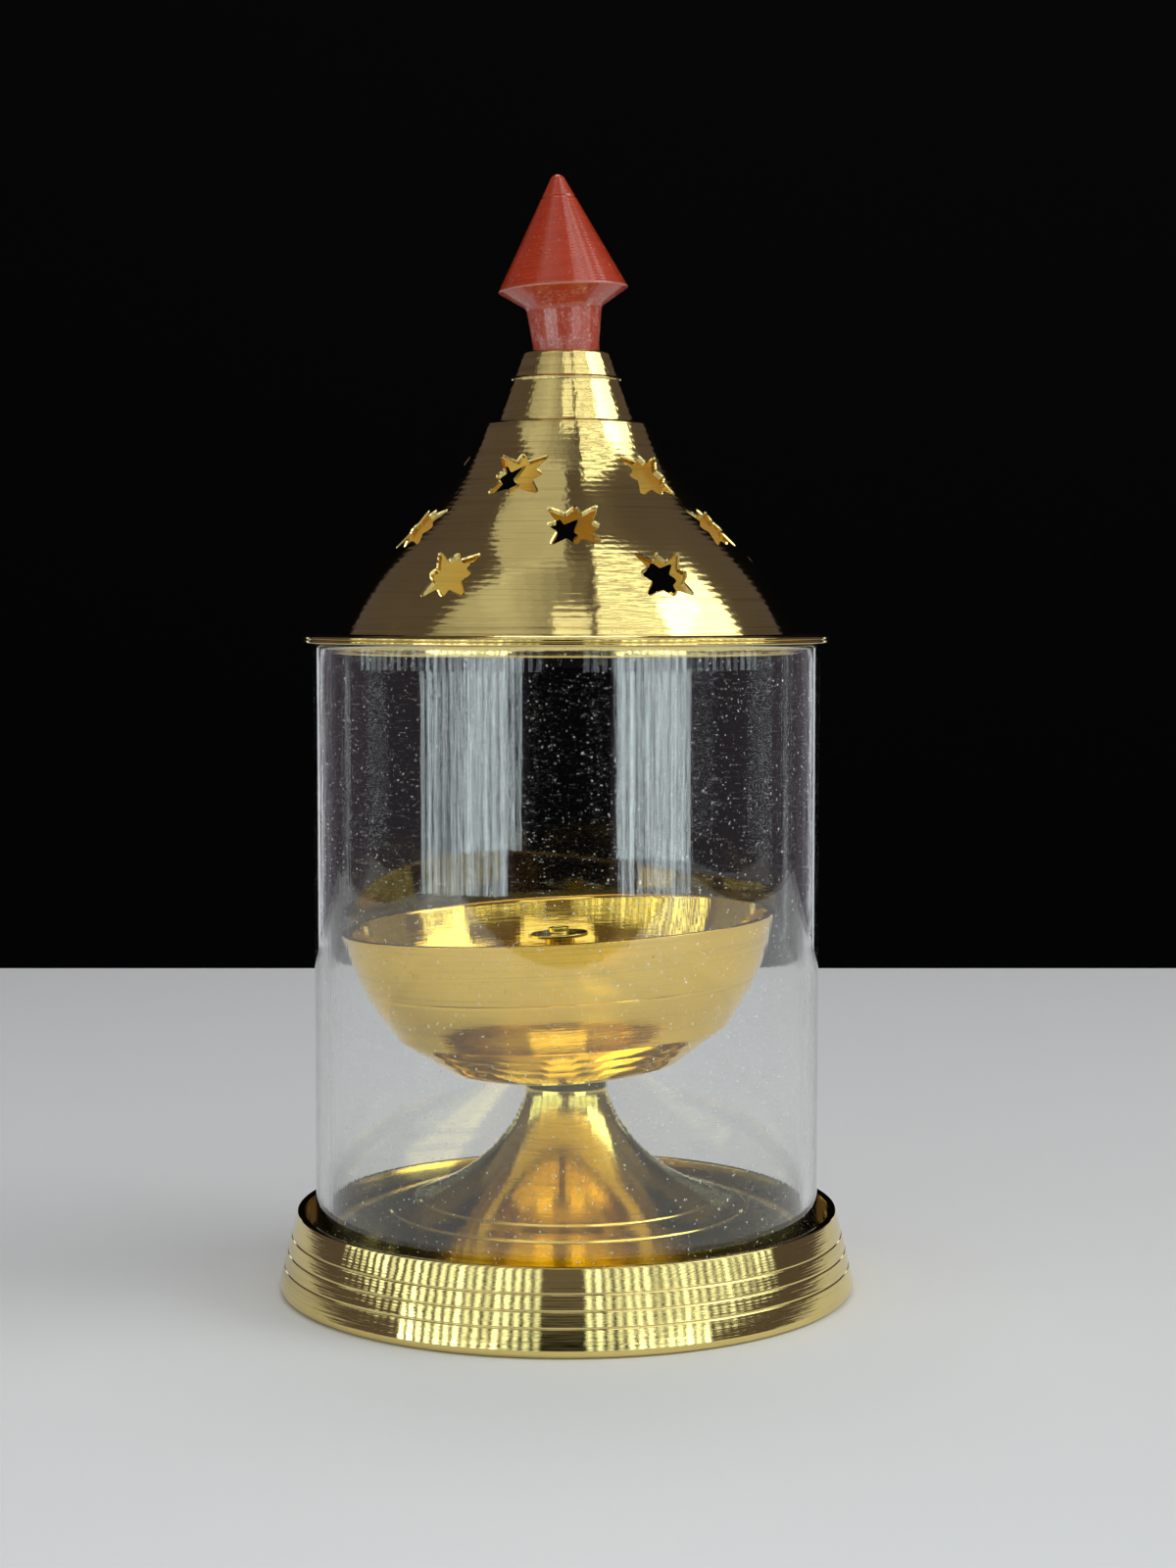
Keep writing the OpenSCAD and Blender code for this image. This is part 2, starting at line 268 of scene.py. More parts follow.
def groove(distance, tool=0.35, out=0.117):
    """Depth that a round tool cuts at a distance from its middle."""
    return max(0.0, sqrt(max(0.0, tool * tool - distance * distance)) - out)


def feed(place, pitch, height):
    """Height of the ridges that the tool leaves between its turns."""
    share = place / pitch - floor(place / pitch) - 0.5
    return height * (1 - 4 * share * share)


def outline(*items):
    """One profile from points (r, z), corners (r, z, rounding) and lists of points."""
    flat = []
    for item in items:
        if isinstance(item, list):
            flat.extend((p[0], p[1], 0.0) for p in item)
        else:
            flat.append((item[0], item[1], item[2] if len(item) > 2 else 0.0))
    out = []
    for i, (r, z, rounding) in enumerate(flat):
        if not rounding or i in (0, len(flat) - 1):
            out.append((r, z))
            continue
        arms = []
        for r2, z2, _ in (flat[i - 1], flat[i + 1]):
            arm = hypot(r2 - r, z2 - z)
            cut = min(rounding, LONGEST_CUT * arm) / arm
            arms.append((r + cut * (r2 - r), z + cut * (z2 - z)))
        for j in range(CORNER_STEPS + 1):
            t = j / CORNER_STEPS
            a, b, c = (1 - t) ** 2, 2 * t * (1 - t), t * t
            out.append(tuple(a * arms[0][k] + b * (r, z)[k] + c * arms[1][k] for k in (0, 1)))
    return out


def filled(points, longest=0.5):
    """The same profile with long straight runs divided, so that shading stays in its place."""
    out = [points[0]]
    for p, q in zip(points, points[1:]):
        count = max(1, int(hypot(q[0] - p[0], q[1] - p[1]) / longest + 0.999))
        out.extend(tuple(p[k] + (q[k] - p[k]) * i / count for k in (0, 1)) for i in range(1, count + 1))
    return out


# Meshes

def polar(r, angle, z):
    """Place at a radius, an angle and a height, in metres."""
    return r * cos(angle) * MM, r * sin(angle) * MM, z * MM


def ring(bm, r, z, around, first=0.0):
    """A ring of points, or one point on the axis."""
    if r < 1e-6:
        return [bm.verts.new((0, 0, z * MM))]
    return [bm.verts.new(polar(r, first + tau * k / around, z)) for k in range(around)]


def bridge(bm, a, b):
    """Faces between two rings."""
    count = max(len(a), len(b))
    for k in range(count):
        n = (k + 1) % count
        corners = [a[k % len(a)], a[n % len(a)], b[n % len(b)], b[k % len(b)]]
        corners = list(dict.fromkeys(corners))
        if len(corners) > 2:
            bm.faces.new(corners)


def revolve(bm, profile, around, closed, first=0.0):
    """Faces of a profile turned round the axis; gives its rings of points."""
    rings = [ring(bm, r, z, around, first) for r, z in profile]
    for a, b in zip(rings, rings[1:]):
        bridge(bm, a, b)
    if closed:
        bridge(bm, rings[-1], rings[0])
    return rings


def piece(name, bm, body, finish, place=Matrix.Identity(4), sharp=50):
    """Makes the object, sets it in place and tells the frame what it stands for."""
    bmesh.ops.recalc_face_normals(bm, faces=bm.faces)
    mesh = bpy.data.meshes.new(name)
    bm.to_mesh(mesh)
    bm.free()
    mesh.shade_smooth()
    mesh.set_sharp_from_angle(angle=radians(sharp))
    mesh.materials.append(finish)
    obj = bpy.data.objects.new(name, mesh)
    bpy.context.collection.objects.link(obj)
    obj.matrix_world = place
    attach(obj, body)
    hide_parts(name.removesuffix("_look"))
    return obj


def leaning(seat, lean):
    """Place of a piece that leans to the left on its seat."""
    return Matrix.Translation((0, 0, seat * MM)) @ Matrix.Rotation(-lean, 4, "Y")


def seated(bm, lean):
    """Cuts the foot of a leaning piece level with what it stands on."""
    for v in bm.verts:
        if v.co.z < 1e-7:
            v.co.z = -v.co.x * tan(lean)


def turned(name, profile, body, finish, around=192, closed=True, place=Matrix.Identity(4), lean=None):
    """A piece made of one turned profile."""
    bm = bmesh.new()
    revolve(bm, filled(profile), around, closed)
    if lean is not None:
        seated(bm, lean)
    return piece(name + "_look", bm, body, finish, place)


def threaded(bm, low, high, root, crest, pitch, around=48, fine=10):
    """A run of screw thread as rings of points, lowest first."""
    run_out = 0.6 * pitch
    crest_share, steepness = 1.35, 3.4
    rings = []
    rows = round((high - low) / pitch * fine)
    for j in range(rows + 1):
        z = low + (high - low) * j / rows
        verts = []
        for k in range(around):
            turn = (z / pitch - k / around) % 1.0
            flank = min(1.0, max(0.0, crest_share - steepness * abs(turn - 0.5)))
            ends = min(1.0, (z - low) / run_out, (high - z) / run_out)
            r = root + (crest - root) * flank * max(0.0, ends)
            verts.append(bm.verts.new(polar(r, tau * k / around, z)))
        rings.append(verts)
    for a, b in zip(rings, rings[1:]):
        bridge(bm, a, b)
    return rings


def cut_by(obj, make_cutter, sharp=35):
    """Cuts a shape out of a finished piece."""
    bm = bmesh.new()
    make_cutter(bm)
    mesh = bpy.data.meshes.new("cutter")
    bm.to_mesh(mesh)
    bm.free()
    cutter = bpy.data.objects.new("cutter", mesh)
    bpy.context.collection.objects.link(cutter)
    cutter.matrix_world = obj.matrix_world
    cut = obj.modifiers.new("cut", "BOOLEAN")
    cut.object = cutter
    cut.solver = "EXACT"
    bpy.context.view_layer.update()
    done = bpy.data.meshes.new_from_object(obj.evaluated_get(bpy.context.evaluated_depsgraph_get()))
    obj.modifiers.clear()
    obj.data = done
    bpy.data.objects.remove(cutter)
    done.shade_smooth()
    done.set_sharp_from_angle(angle=radians(sharp))


# Finishes

class Value:
    """A number in a shader, which can be written in sums."""

    def __init__(self, tree, socket):
        self.tree = tree
        self.socket = socket

    def math(self, operation, first, second=None):
        node = self.tree.nodes.new("ShaderNodeMath")
        node.operation = operation
        for i, value in enumerate((first, second)):
            if isinstance(value, Value):
                self.tree.links.new(value.socket, node.inputs[i])
            elif value is not None:
                node.inputs[i].default_value = value
        return Value(self.tree, node.outputs[0])

    def __add__(self, other):
        return self.math("ADD", self, other)

    __radd__ = __add__

    def __sub__(self, other):
        return self.math("SUBTRACT", self, other)

    def __rsub__(self, other):
        return self.math("SUBTRACT", other, self)

    def __mul__(self, other):
        return self.math("MULTIPLY", self, other)

    __rmul__ = __mul__

    def __truediv__(self, other):
        return self.math("DIVIDE", self, other)

    def __pow__(self, other):
        return self.math("POWER", self, other)

    def __abs__(self):
        return self.math("ABSOLUTE", self)

    def least(self, other):
        return self.math("MINIMUM", self, other)

    def most(self, other):
        return self.math("MAXIMUM", self, other)

    def sine(self):
        return self.math("SINE", self)

    def kept(self):
        """Held between 0 and 1."""
        return self.least(1.0).most(0.0)

    def above(self, level, gain):
        """0 up to a level, then rising to 1."""
        return ((self - level) * gain).kept()

    def below(self, level, gain):
        """0 down to a level, then rising to 1."""
        return ((level - self) * gain).kept()


class Finish:
    """A material and the nodes that make it."""

    def __init__(self, name):
        self.material = bpy.data.materials.new(name)
        self.material.use_nodes = True
        self.tree = self.material.node_tree
        self.tree.nodes.clear()

    def node(self, kind, settings=None, sockets=None):
        """A node of that type, with its settings made first and then its sockets; gives its outputs."""
        made = self.tree.nodes.new(kind)
        for key, value in (settings or {}).items():
            setattr(made, key, value)
        inputs = {socket.identifier: socket for socket in made.inputs}
        for key, value in (sockets or {}).items():
            if isinstance(value, Value):
                self.tree.links.new(value.socket, inputs[key])
            else:
                inputs[key].default_value = value
        return {socket.identifier: Value(self.tree, socket) for socket in made.outputs}

    def blend(self, share, a, b):
        """Colour a where share is 0 and b where it is 1."""
        sockets = {"Factor_Float": share, "A_Color": a, "B_Color": b}
        return self.node("ShaderNodeMix", {"data_type": "RGBA"}, sockets)["Result_Color"]

    def round_place(self):
        """Radius, height, and the cosine and sine of the angle, in the piece's own frame, in millimetres."""
        place = self.node("ShaderNodeTexCoord")["Object"]
        xyz = self.node("ShaderNodeSeparateXYZ", sockets={"Vector": place})
        x, y, z = (xyz[k] * (1 / MM) for k in "XYZ")
        r = (x * x + y * y) ** 0.5
        return r, z, x / r, y / r

    def noise(self, x, y, z, w, detail=2.0, roughness=0.5):
        """Noise between 0 and 1 in four dimensions."""
        place = self.node("ShaderNodeCombineXYZ", sockets={"X": x, "Y": y, "Z": z})["Vector"]
        made = self.node(
            "ShaderNodeTexNoise",
            {"noise_dimensions": "4D"},
            {"Vector": place, "W": w, "Scale": 1.0, "Detail": detail, "Roughness": roughness},
        )
        return made["Fac"]

    def turned_noise(self, place, along, around, detail=2.0, roughness=0.5):
        """Noise by its fineness along the profile, per millimetre, and round the axis."""
        r, z, c, s = place
        return self.noise(r * along, z * along, c * around, s * around, detail, roughness)

    def bump(self, height):
        """Normal from a height in millimetres."""
        sockets = {"Strength": 1.0, "Distance": 1.0, "Height": height * MM}
        return self.node("ShaderNodeBump", None, sockets)["Normal"]

    def surface(self, sockets):
        return self.node("ShaderNodeBsdfPrincipled", None, sockets)["BSDF"]

    def mixed(self, share, a, b):
        """Shader a where share is 0 and b where it is 1."""
        return self.node("ShaderNodeMixShader", None, {"Fac": share, "Shader": a, "Shader_001": b})["Shader"]

    def done(self, shader):
        self.node("ShaderNodeOutputMaterial", None, {"Surface": shader})
        return self.material


# gold and lemon are the warmer tones painted on brass inside the glass, for the warm light that the brass
# reflects to and fro there.
pale, gold, lemon = (0.88, 0.71, 0.27, 1), (1.0, 0.67, 0.125, 1), (0.98, 0.80, 0.20, 1)
brown = (0.54, 0.40, 0.15, 1)
# Near-black olive painted as shade on the bowl's collar, in the recess under the bowl.
painted_shade = (0.09, 0.075, 0.02, 1)
ripple_pitch = 1.5


def brass(
    name, outer, inner, worn, fine, waves, lobes, rough, inner_rough,
    streak=0.6, ripple=0.0, shaded_below=0.0,
):
    """Turned brass: rings left by the tool, chatter, a warmer tone inside the glass painted as the warm light
    that the brass reflects there, a little tarnish, and painted shade below a given height.
    """
    f = Finish(name)
    place = f.round_place()
    r, z, _, _ = place
    rings = f.turned_noise(place, along=4, around=1.2, detail=3.0, roughness=0.62)
    passes = f.turned_noise(place, along=1.5, around=0.6)
    chatter = f.turned_noise(place, along=0.8, around=lobes, detail=1.5)
    feeds = f.turned_noise(place, along=2.2, around=9, detail=1.0)
    spun = ((z - r) * (tau / ripple_pitch) + chatter * 3).sine()
    cloud = f.turned_noise(place, along=0.06, around=1.6, detail=4.0, roughness=0.6)
    stain = cloud.above(0.52, 4) * 0.5
    line = passes.above(0.54, 7) * 0.5 + rings.above(0.54, 7) * 0.5
    # Painted reflected light: brass inside the glass gets the warmer inner colour.
    inside = r.below(glass_r, 0.5)
    colour = f.blend(inside, outer, inner)
    colour = f.blend(((stain + line) * worn).kept(), colour, brown)
    # Painted shade: the brass turns near black below a given height, standing for the shadow in the recess of
    # the collar under the bowl.
    colour = f.blend(z.below(shaded_below, 4), colour, painted_shade)
    height = (rings + feeds) * fine + passes * (waves * 0.4) + chatter * waves + spun * ripple
    shader = f.surface(
        {
            "Base Color": colour,
            "Metallic": 1.0,
            "Roughness": rough + inside * (inner_rough - rough) + (stain * 0.1 + line * 0.06) * worn,
            "Anisotropic": streak,
            "Anisotropic Rotation": 0.25,
            "Normal": f.bump(height),
        }
    )
    return f.done(shader)


def fixing(name, colour, dark, rough):
    """Plain drawn or plated metal with fine scratches and dull patches."""
    f = Finish(name)
    place = f.round_place()
    r, z, c, s = place
    patches = f.turned_noise(place, along=0.5, around=2.5, detail=4.0, roughness=0.65)
    scratches = f.noise(r * 6, z * 2, c * 14, s * 14)
    shader = f.surface(
        {
            "Base Color": f.blend(patches.above(0.42, 3.2) * 0.7, colour, dark),
            "Metallic": 1.0,
            "Roughness": rough + patches * 0.18,
            "Normal": f.bump(scratches * 0.004),
        }
    )
    return f.done(shader)


def clear_glass():
    """Clear tube glass that lets the light through to what stands inside, with specks of dust."""
    f = Finish("clear_glass")
    r, z, c, s = f.round_place()
    drawn = f.noise(c * 45, s * 45, z * 0.035, r * 0.5, detail=3.0, roughness=0.6)
    specks = f.noise(c * 85, s * 85, z * 2.1, r * 3.0, detail=1.0)
    dust = specks.above(0.70, 18) * 0.9
    solid = f.surface(
        {
            "Base Color": (0.988, 0.997, 0.992, 1),
            "Roughness": 0.0,
            "IOR": 1.47,
            "Transmission Weight": 1.0,
            "Coat Weight": 0.35,
            "Coat Roughness": 0.02,
            "Normal": f.bump(drawn * 0.010),
        }
    )
    lint = f.surface({"Base Color": (0.75, 0.74, 0.70, 1), "Roughness": 1.0})
    open_air = f.node("ShaderNodeBsdfTransparent", None, {"Color": (0.982, 0.992, 0.987, 1)})["BSDF"]
    in_shadow = f.node("ShaderNodeLightPath")["Is Shadow Ray"]
    dusty = f.mixed(dust, solid, lint)
    return f.done(f.mixed(in_shadow, dusty, open_air))


def red_knob():
    """Turned brick red knob: rings, a paler band round the cone's rim, dust under the cone and on the stem.
    """
    deep_red, bright_red = (0.35, 0.020, 0.002, 1), (0.64, 0.056, 0.004, 1)
    pale_rim, dusted = (0.60, 0.34, 0.26, 1), (0.64, 0.34, 0.28, 1)
    f = Finish("brick_red")
    place = f.round_place()
    r, z, _, _ = place
    rings = f.turned_noise(place, along=5, around=0.8, roughness=0.6)
    cloud = f.turned_noise(place, along=0.3, around=2, detail=4.0, roughness=0.6)
    dust = f.turned_noise(place, along=1.9, around=12, detail=3.0, roughness=0.7)
    patches = f.turned_noise(place, along=0.5, around=4, detail=4.0, roughness=0.65).above(0.47, 6)
    edge = (1 - abs(r - knob_r) * 4.0).kept() * (1 - abs(z - cone_edge[1]) * 2.5).kept()
    edge = edge * (0.45 + cloud)
    specks = dust.above(0.60, 12)
    grains = dust.above(0.5, 7)
    under_cone = z.below(cone_edge[1] - 0.3, 0.8)
    under = under_cone * (patches * (0.15 + grains * 0.65) + grains * 0.2 + 0.06)
    film = (specks * (0.25 + patches * 0.5) + under).kept()
    ring_tone = rings.above(0.45, 3) * 0.5 + cloud * 0.7 - 0.1
    colour = f.blend(ring_tone.kept(), deep_red, bright_red)
    # A paler band along the cone's rim.
    colour = f.blend((edge * 0.85).kept(), colour, pale_rim)
    colour = f.blend(film, colour, dusted)
    shader = f.surface(
        {
            "Base Color": colour,
            "Roughness": (0.30 + rings * 0.15 + film * 0.35).kept(),
            "IOR": 1.3,
            "Coat Weight": (0.8 - film * 0.5).kept(),
            "Coat IOR": 1.7,
            "Coat Roughness": 0.13,
            "Normal": f.bump(rings * 0.040 + dust * 0.006),
        }
    )
    return f.done(shader)


def plain(name, colour, rough, grain):
    """A matt sheet, slightly cloudy."""
    f = Finish(name)
    place = f.node("ShaderNodeTexCoord")["Object"]
    cloud = f.node("ShaderNodeTexNoise", None, {"Vector": place, "Scale": grain, "Detail": 3.0})["Fac"]
    darker = tuple(v * 0.96 for v in colour[:3]) + (1,)
    shader = f.surface(
        {"Base Color": f.blend(cloud, colour, darker), "Roughness": rough, "Specular IOR Level": 0.1}
    )
    return f.done(shader)


turned_brass = brass(
    "turned_brass", pale, lemon, worn=0.7, fine=0.010, waves=0.012, lobes=14, rough=0.06, inner_rough=0.12
)
# The bowl's collar gets painted shade, for the shadow under the bowl's overhang.
bowl_brass = brass(
    "bowl_brass", pale, gold, worn=0.35, fine=0.010, waves=0.014, lobes=14, rough=0.065, inner_rough=0.065,
    shaded_below=collar_h + 0.15,
)
spun_brass = brass(
    "spun_brass", pale, pale, worn=0.9, fine=0.007, waves=0.032, lobes=18, rough=0.10, inner_rough=0.10,
    ripple=0.004,
)
raw_brass = brass(
    "raw_brass", gold, gold, worn=0.8, fine=0.010, waves=0.030, lobes=14, rough=0.36, inner_rough=0.36,
    streak=0.3,
)
drawn_brass = fixing("drawn_brass", (0.66, 0.49, 0.22, 1), (0.36, 0.25, 0.11, 1), rough=0.28)
plated_steel = fixing("plated_steel", (0.62, 0.62, 0.60, 1), (0.36, 0.35, 0.33, 1), rough=0.26)
glass_finish = clear_glass()
knob_finish = red_knob()


# Stand: grooved skirt, channel for the glass, trumpet pedestal, hollow below

def skirt_depth(p):
    """Depth of the skirt's three grooves, and of the tool's feed above its foot."""
    down = rim_h - p[1]
    grooves = sum(groove(skirt_groove_down + skirt_groove_pitch * i - down, 0.15, 0.05) for i in range(3))
    ridges = feed(p[1], 0.42, 0.003) if down < skirt_ridges_down else 0.0
    return grooves + ridges


skirt = moved(curve((rim_r, rim_h), (foot_r, foot_round), skirt_form, 0.07, (rim_soft, 0.0)), skirt_depth)


def falling(points):
    """The trumpet's curve with its floor falling away towards the channel."""
    return [(r, z - floor_fall * max(0.0, (r - fall_from) / (floor_r - fall_from)) ** 1.5) for r, z in points]


trumpet = moved(
    falling(curve((neck_r, pedestal_h), (floor_r, rim_h), trumpet_form, 0.14, (neck_soft, 0.3))),
    lambda p: sum(groove(p[0] - r) for r in floor_rings),
)
hollow_r = floor_r - cast_wall
hollow_z = seat_z - cast_wall
under_trumpet = moved(falling(curve((neck_r, pedestal_h), (floor_r, rim_h), trumpet_form, 0.5)), cast_wall)
hollow = [p for p in under_trumpet if p[1] < boss_z and p[0] < hollow_r]
foot_steps = 10
foot_turns = [-pi / 2 * i / foot_steps for i in range(1, foot_steps + 1)]
foot_arc = [
    (foot_r - foot_round + foot_round * cos(turn), foot_round + foot_round * sin(turn)) for turn in foot_turns
]
stand_profile = outline(
    (bore_r, boss_z),
    (bore_r, pedestal_h, 0.3),
    (neck_r, pedestal_h, neck_soft),
    trumpet,
    (floor_r, rim_h - floor_fall, 0.9),
    (floor_r, seat_z, 0.5),
    (rim_in, seat_z, 0.5),
    (rim_in, rim_h, 0.3),
    (rim_r, rim_h, rim_soft),
    skirt,
    foot_arc,
    (foot_r - foot_w, 0.0, 0.3),
    (foot_r - foot_w, hollow_z, 0.8),
    (hollow_r, hollow_z, 0.5),
    (hollow_r, hollow[-1][1], 0.8),
    hollow[::-1],
    (hollow[0][0] - 0.6, boss_z, 0.4),
    (bore_r + 0.2, boss_z),
)
turned("stand", stand_profile, "base", turned_brass, 256)


# Oil bowl on its collar, stepped underneath

def step_at(i):
    """Edge of a step, counted from the top."""
    return top_step[0] - i * step[0], top_step[1] - i * step[1]


def band(i):
    """The bulging band from one step up to the lip of the next, then that lip."""
    low, high = step_at(i + 1), (step_at(i)[0] - step_lip, step_at(i)[1] + step_lip / 5)
    run = hypot(high[0] - low[0], high[1] - low[1])
    line = even([low, high], 0.2, (band_trim, band_trim))
    return [
        *moved(line, lambda p: band_bulge * sin(pi * hypot(p[0] - low[0], p[1] - low[1]) / run)),
        (high[0] + 0.1, high[1] + step_cut, 0.1),
        (*step_at(i), step_soft),
    ]


bowl_side = moved(
    curve(top_step, (bowl_r, bowl_rim), bowl_form, 0.14, (0.25, 0.4)),
    lambda p: -groove(p[1] - bowl_groove, 0.22, 0.12),
)
bowl_inside = moved(curve(top_step, (bowl_r, bowl_rim), bowl_form), -bowl_wall)
bowl_inside = [p for p in bowl_inside if p[1] < bowl_rim - 0.4][::-1]
stud_hole = stud_high - pedestal_h
stud_hole_r = stud_r + thread_play
bowl_profile = outline(
    (0.0, stud_hole),
    (stud_hole_r, stud_hole),
    (stud_hole_r, 0.0),
    (collar_r, 0.0),
    (collar_r, collar_h, 0.3),
    curve((collar_r, collar_h), step_at(3), under_form, 0.4, (0.5, 0.3)),
    (*step_at(3), step_soft),
    *band(2),
    *band(1),
    *band(0),
    bowl_side,
    (bowl_r, bowl_rim, 0.3),
    (bowl_r - bowl_wall, bowl_rim, 0.3),
    bowl_inside,
    (holder_r + 0.5, bowl_floor, 1.0),
    (0.0, bowl_floor),
)
bowl_place = leaning(pedestal_h, bowl_lean)
turned("oil_bowl", bowl_profile, "base", bowl_brass, 256, False, bowl_place, bowl_lean)


# Wick holder: foot, tapered column, drip plate and nozzle

holder_foot = bowl_floor + holder_foot_h
plate_z = bowl_rim - plate_down
plate_low = plate_z - plate_t
nozzle_z = plate_z + nozzle_h
holder_profile = outline(
    (wick_r, bowl_floor, 0.15),
    (holder_r, bowl_floor, 0.15),
    (holder_r, holder_foot - holder_foot_edge, 0.2),
    (holder_r - holder_foot_edge, holder_foot, 0.2),
    (column_foot_r, holder_foot, 0.5),
    (column_top_r, plate_low, 0.3),
    (plate_r, plate_low, 0.15),
    (plate_r, plate_z, 0.2),
    (nozzle_r, plate_z, 0.25),
    (nozzle_r, nozzle_z, 0.2),
    (wick_r, nozzle_z, 0.15),
    (wick_r, plate_z),
)
holder = turned("wick_holder", holder_profile, "wick_holder", turned_brass, 96, True, bowl_place)


def oil_hole(bm):
    """A rod across the foot of the column."""
    lie = Matrix.Translation((0, 0, (holder_foot + oil_hole_up) * MM)) @ Matrix.Rotation(pi / 2, 4, "Y")
    r = oil_hole_r * MM
    bmesh.ops.create_cone(
        bm, segments=40, radius1=r, radius2=r, depth=oil_hole_long * MM, cap_ends=True, matrix=lie
    )


cut_by(holder, oil_hole)


# Glass chimney with fire-polished ends

glass_middle = (seat_z + glass_top) / 2
glass_profile = outline(
    (glass_in, glass_middle),
    (glass_in, glass_top, glass_round),
    (glass_r, glass_top, glass_round),
    (glass_r, seat_z, glass_round),
    (glass_in, seat_z, glass_round),
    (glass_in, glass_middle - 1.0),
)
bm = bmesh.new()
revolve(bm, filled(glass_profile, 3.0), 256, True)
piece("glass_chimney_look", bm, "chimney", glass_finish)


# Lid: hemmed brim, collar inside the glass, pierced ogee dome, ledge, neck and flat top

def from_front(degrees):
    """Angle round the axis, counted from the front."""
    return radians(degrees - 90)


AROUND = 240
SEAM = from_front(-165)
dome_steps = range(CURVE_STEPS + 1)
dome = [curve_point(dome_ledge, dome_foot, dome_form, i / CURVE_STEPS) for i in dome_steps]
dome_run = lengths(dome)
dome_long = dome_run[-1]


def dome_at(s, depth):
    """Radius and height at the length s down the dome, a depth under its face, and the way out of it."""
    near = 0.02
    p = at_length(dome, dome_run, s)
    a = at_length(dome, dome_run, max(s - near, 0.0))
    b = at_length(dome, dome_run, min(s + near, dome_long))
    n = hypot(b[0] - a[0], b[1] - a[1])
    out = ((a[1] - b[1]) / n, (b[0] - a[0]) / n)
    return (p[0] - depth * out[0], p[1] - depth * out[1]), out


def uneven(star, i):
    """A fixed number from -1 to 1 for one point of one star, since they are punched by hand."""
    return sin(12.9898 * (star * star_corners + i + 1) + 4.1 * sin(3.7 * star + i))


def star_loop(grow, number):
    """Outline of one punched star, across and down the dome, grown by its bevel."""
    corners = []
    for i in range(star_corners):
        r = star_notch if i % 2 else star_short if i % 4 == 0 else star_long
        r *= 1 + star_uneven * uneven(number, i)
        a = tau * i / star_corners + star_twist * uneven(number + 40, i)
        corners.append((r * cos(a), r * sin(a)))
    points = []
    for i, p in enumerate(corners):
        soft, next_soft = star_soft[i % 4], star_soft[(i + 1) % 4]
        before, after = corners[i - 1], corners[(i + 1) % star_corners]
        ends = []
        for q in (before, after):
            side = hypot(q[0] - p[0], q[1] - p[1])
            ends.append(tuple(p[k] + (q[k] - p[k]) * soft / side for k in (0, 1)))
        for t in (0.0, 0.33, 0.67, 1.0):
            a, b, c = (1 - t) ** 2, 2 * t * (1 - t), t * t
            points.append(tuple(a * ends[0][k] + b * p[k] + c * ends[1][k] for k in (0, 1)))
        halfway = (soft + side - next_soft) / 2 / side
        points.append(tuple(p[k] + (after[k] - p[k]) * halfway for k in (0, 1)))
    out = []
    for i, p in enumerate(points):
        a, b = points[i - 1], points[(i + 1) % len(points)]
        d = (b[0] - a[0], b[1] - a[1])
        n = hypot(*d)
        out.append((p[0] + grow * d[1] / n, p[1] - grow * d[0] / n))
    return out


def inside_loop(loop, x, y):
    """Whether a place lies inside a closed outline."""
    hit = False
    for (x1, y1), (x2, y2) in zip(loop, loop[1:] + loop[:1]):
        if (y1 > y) != (y2 > y) and x < (x2 - x1) * (y - y1) / (y2 - y1) + x1:
            hit = not hit
    return hit


stars = []
for share, turns in star_rows:
    middle = curve_point(dome_ledge, dome_foot, dome_form, share)
    s0 = min(dome_steps, key=lambda i: hypot(dome[i][0] - middle[0], dome[i][1] - middle[1]))
    for turn in turns:
        stars.append((dome_run[s0], SEAM + (from_front(turn) - SEAM) % tau))


def on_dome(angle, s, depth):
    """Place on the dome at an angle and a length down it, a depth under its face."""
    (r, z), _ = dome_at(s, depth)
    return Vector(polar(r, angle, z))


def star_points(number, loop):
    """A star's outline as angle and length down the dome."""
    s0, angle0 = stars[number]
    return [(angle0 + x / dome_at(s0 + y, 0.0)[0][0], s0 + y) for x, y in loop]


def in_star(loops, angle, s, r):
    """Whether a place on the dome lies inside one of the stars' outlines."""
    for (s0, a0), loop in zip(stars, loops):
        x, y = (angle - a0) * r, s - s0
        if abs(x) < star_reach and abs(y) < star_reach and inside_loop(loop, x, y):
            return True
    return False


def pierced(bm, side, first, last, depth, grow, mark):
    """One face of the dome with its stars left out; gives the stars' rims as rings of points."""
    loops = [star_loop(grow, n) for n in range(len(stars))]
    clear = [star_loop(grow + star_clear, n) for n in range(len(stars))]
    flat_r, row_pitch = 25.0, 0.6
    rows = round((last - first) / row_pitch)
    places, edges, rims = [], [], []
    for j in range(rows + 1):
        s = first + (last - first) * j / rows
        r = dome_at(s, 0.0)[0][0]
        for k in range(AROUND + 1):
            angle = SEAM + tau * k / AROUND
            if not in_star(clear, angle, s, r):
                places.append((angle, s))
    for number, loop in enumerate(loops):
        points = star_points(number, loop)
        base = len(places)
        rims.append(range(base, base + len(points)))
        edges.extend((base + i, base + (i + 1) % len(points)) for i in range(len(points)))
        places.extend(points)
    flat = [Vector(((a - SEAM) * flat_r, s)) for a, s in places]
    made, _, faces, source, _, _ = delaunay_2d_cdt(flat, edges, [], 0, 1e-6)
    back = {old: new for new, olds in enumerate(source) for old in olds}
    verts = []
    for x, s in made:
        v = bm.verts.new(on_dome(SEAM + x / flat_r, s, depth))
        v[mark] = side
        verts.append(v)
    for face in faces:
        x, s = (sum(made[i][k] for i in face) / len(face) for k in (0, 1))
        if not in_star(loops, SEAM + x / flat_r, s, dome_at(s, 0.0)[0][0]):
            bm.faces.new([verts[i] for i in face])
    return [[verts[back[i]] for i in rim] for rim in rims]


